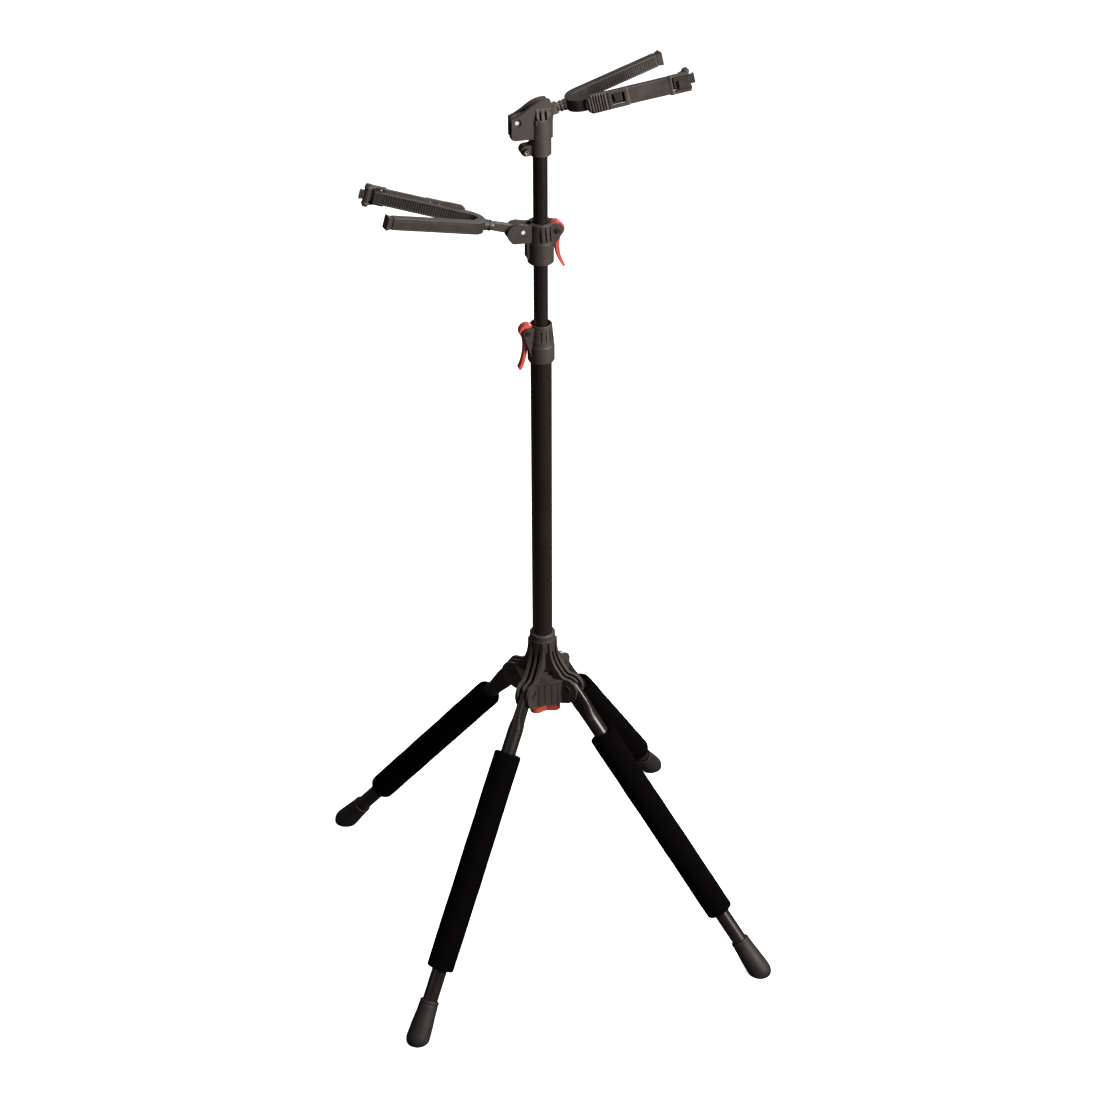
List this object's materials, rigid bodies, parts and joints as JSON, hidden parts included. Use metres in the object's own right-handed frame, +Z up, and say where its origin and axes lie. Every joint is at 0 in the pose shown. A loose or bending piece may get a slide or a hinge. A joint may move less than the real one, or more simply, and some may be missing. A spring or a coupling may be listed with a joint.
{
  "type": "guitar rack",
  "caption": "Free-standing rack that hangs guitars by the neck: telescoping post on folding padded legs, with tilting V-shaped swivel yokes and security straps.",
  "frame": {"origin": "on the floor, on the post's axis", "axes": "+Z up the post, +X towards the upper yoke, so the lower yoke points along -X and the legs stand at 45 degrees to X and Y"},
  "size_m": [0.5492, 0.5492, 1.3171],
  "materials": {
    "powder_coat_black": "satin powder coat",
    "neck_metal": "satin powder coat",
    "moulded_dark": "fine moulded texture",
    "nylon_dark": "matte nylon",
    "foam_black": "closed-cell foam",
    "boot_rubber": "matte rubber",
    "yoke_rubber": "matte rubber",
    "lever_red": "semi-gloss moulded",
    "bolt_steel": "bright zinc",
    "bolt_black": "black oxide",
    "spring_steel": "plain"
  },
  "bodies": {
    "base": {"outer_tube": "powder_coat_black", "hub_body": "moulded_dark", "hub_core": "moulded_dark", "leg_pivot_bolts": "bolt_black", "leg_pivot_nuts": "bolt_black", "hub_set_screw": "bolt_black", "clutch_housing": "moulded_dark", "clutch_lever_pin": "bolt_black", "release_spring": "spring_steel"},
    "release": {"leg_release": "lever_red", "release_rod": "bolt_steel", "release_washer": "bolt_steel"},
    "clutch_lever": {"clutch_lever": "lever_red"},
    "mast_swivel": {"clutch_collet": "nylon_dark"},
    "mast": {"mast_tube": "powder_coat_black", "mast_bush": "nylon_dark", "head_housing": "moulded_dark", "head_clamp_screw": "bolt_steel", "head_clamp_nut": "bolt_black", "head_pivot_bolt": "bolt_steel", "head_pivot_nut": "bolt_black"},
    "hanger_slider": {"hanger_collet": "nylon_dark"},
    "hanger_collar": {"hanger_collar": "moulded_dark", "hanger_lever_pin": "bolt_black", "hanger_pivot_bolt": "bolt_steel", "hanger_pivot_nut": "bolt_black"},
    "hanger_lever": {"hanger_lever": "lever_red"},
    "leg_front_right": {"leg_tube_front_right": "powder_coat_black", "leg_foam_front_right": "foam_black", "leg_boot_front_right": "boot_rubber"},
    "leg_back_right": {"leg_tube_back_right": "powder_coat_black", "leg_foam_back_right": "foam_black", "leg_boot_back_right": "boot_rubber"},
    "leg_back_left": {"leg_tube_back_left": "powder_coat_black", "leg_foam_back_left": "foam_black", "leg_boot_back_left": "boot_rubber"},
    "leg_front_left": {"leg_tube_front_left": "powder_coat_black", "leg_foam_front_left": "foam_black", "leg_boot_front_left": "boot_rubber"},
    "upper_neck": {"upper_neck_bar": "neck_metal", "upper_swivel_washer": "bolt_steel", "upper_swivel_screw": "bolt_steel"},
    "upper_yoke": {"upper_yoke_frame": "moulded_dark", "upper_yoke_cover": "yoke_rubber"},
    "upper_strap": {"upper_strap": "yoke_rubber", "upper_strap_pin": "moulded_dark"},
    "lower_neck": {"lower_neck_bar": "neck_metal", "lower_swivel_washer": "bolt_steel", "lower_swivel_screw": "bolt_steel"},
    "lower_yoke": {"lower_yoke_frame": "moulded_dark", "lower_yoke_cover": "yoke_rubber"},
    "lower_strap": {"lower_strap": "yoke_rubber", "lower_strap_pin": "moulded_dark"}
  },
  "joints": [
    {"name": "fold_leg_front_right", "type": "hinge", "parent": "base", "child": "leg_front_right", "pos_m": [0.03182, -0.03182, 0.405], "axis": [0.7071, 0.7071, 0], "range_deg": [0, 38.5]},
    {"name": "fold_leg_back_right", "type": "hinge", "parent": "base", "child": "leg_back_right", "pos_m": [0.03182, 0.03182, 0.405], "axis": [-0.7071, 0.7071, 0], "range_deg": [0, 38.5]},
    {"name": "fold_leg_back_left", "type": "hinge", "parent": "base", "child": "leg_back_left", "pos_m": [-0.03182, 0.03182, 0.405], "axis": [-0.7071, -0.7071, 0], "range_deg": [0, 38.5]},
    {"name": "fold_leg_front_left", "type": "hinge", "parent": "base", "child": "leg_front_left", "pos_m": [-0.03182, -0.03182, 0.405], "axis": [0.7071, -0.7071, 0], "range_deg": [0, 38.5]},
    {"name": "leg_release_push", "type": "slide", "parent": "base", "child": "release", "axis": [0, 0, 1], "range_m": [0, 0.005], "deforming": ["release_spring"]},
    {"name": "clutch_lever_open", "type": "hinge", "parent": "base", "child": "clutch_lever", "pos_m": [-0.02, 0, 0.9635], "axis": [0, 1, 0], "range_deg": [0, 110]},
    {"name": "mast_turn", "type": "hinge", "parent": "base", "child": "mast_swivel", "pos_m": [0, 0, 0.952], "axis": [0, 0, 1], "continuous": true},
    {"name": "mast_height", "type": "slide", "parent": "mast_swivel", "child": "mast", "axis": [0, 0, 1], "range_m": [-0.045, 0.15]},
    {"name": "hanger_height", "type": "slide", "parent": "mast", "child": "hanger_slider", "axis": [0, 0, 1], "range_m": [-0.03, 0.045]},
    {"name": "hanger_turn", "type": "hinge", "parent": "hanger_slider", "child": "hanger_collar", "pos_m": [0, 0, 1.088], "axis": [0, 0, 1], "continuous": true},
    {"name": "hanger_lever_open", "type": "hinge", "parent": "hanger_collar", "child": "hanger_lever", "pos_m": [0.0204, 0, 1.105], "axis": [0, -1, 0], "range_deg": [0, 110]},
    {"name": "upper_neck_fold", "type": "hinge", "parent": "mast", "child": "upper_neck", "pos_m": [-0.032, 0, 1.254], "axis": [0, -1, 0], "range_deg": [0, 160]},
    {"name": "lower_neck_fold", "type": "hinge", "parent": "hanger_collar", "child": "lower_neck", "pos_m": [-0.0255, 0, 1.107], "axis": [0, 1, 0], "range_deg": [0, 56]},
    {"name": "upper_yoke_swivel", "type": "hinge", "parent": "upper_neck", "child": "upper_yoke", "pos_m": [0.03913, 0, 1.27042], "axis": [0.9744, 0, 0.225], "range_deg": [-35, 35]},
    {"name": "upper_strap_swing", "type": "hinge", "parent": "upper_yoke", "child": "upper_strap", "pos_m": [0.17603, -0.044, 1.30203], "axis": [-0.225, 0, 0.9744], "range_deg": [0, 258]},
    {"name": "lower_yoke_swivel", "type": "hinge", "parent": "lower_neck", "child": "lower_yoke", "pos_m": [-0.07949, 0, 1.12187], "axis": [-0.9641, 0, 0.2656], "range_deg": [-35, 35]},
    {"name": "lower_strap_swing", "type": "hinge", "parent": "lower_yoke", "child": "lower_strap", "pos_m": [-0.21494, 0.044, 1.15918], "axis": [0.2656, 0, 0.9641], "range_deg": [0, 258]}
  ]
}
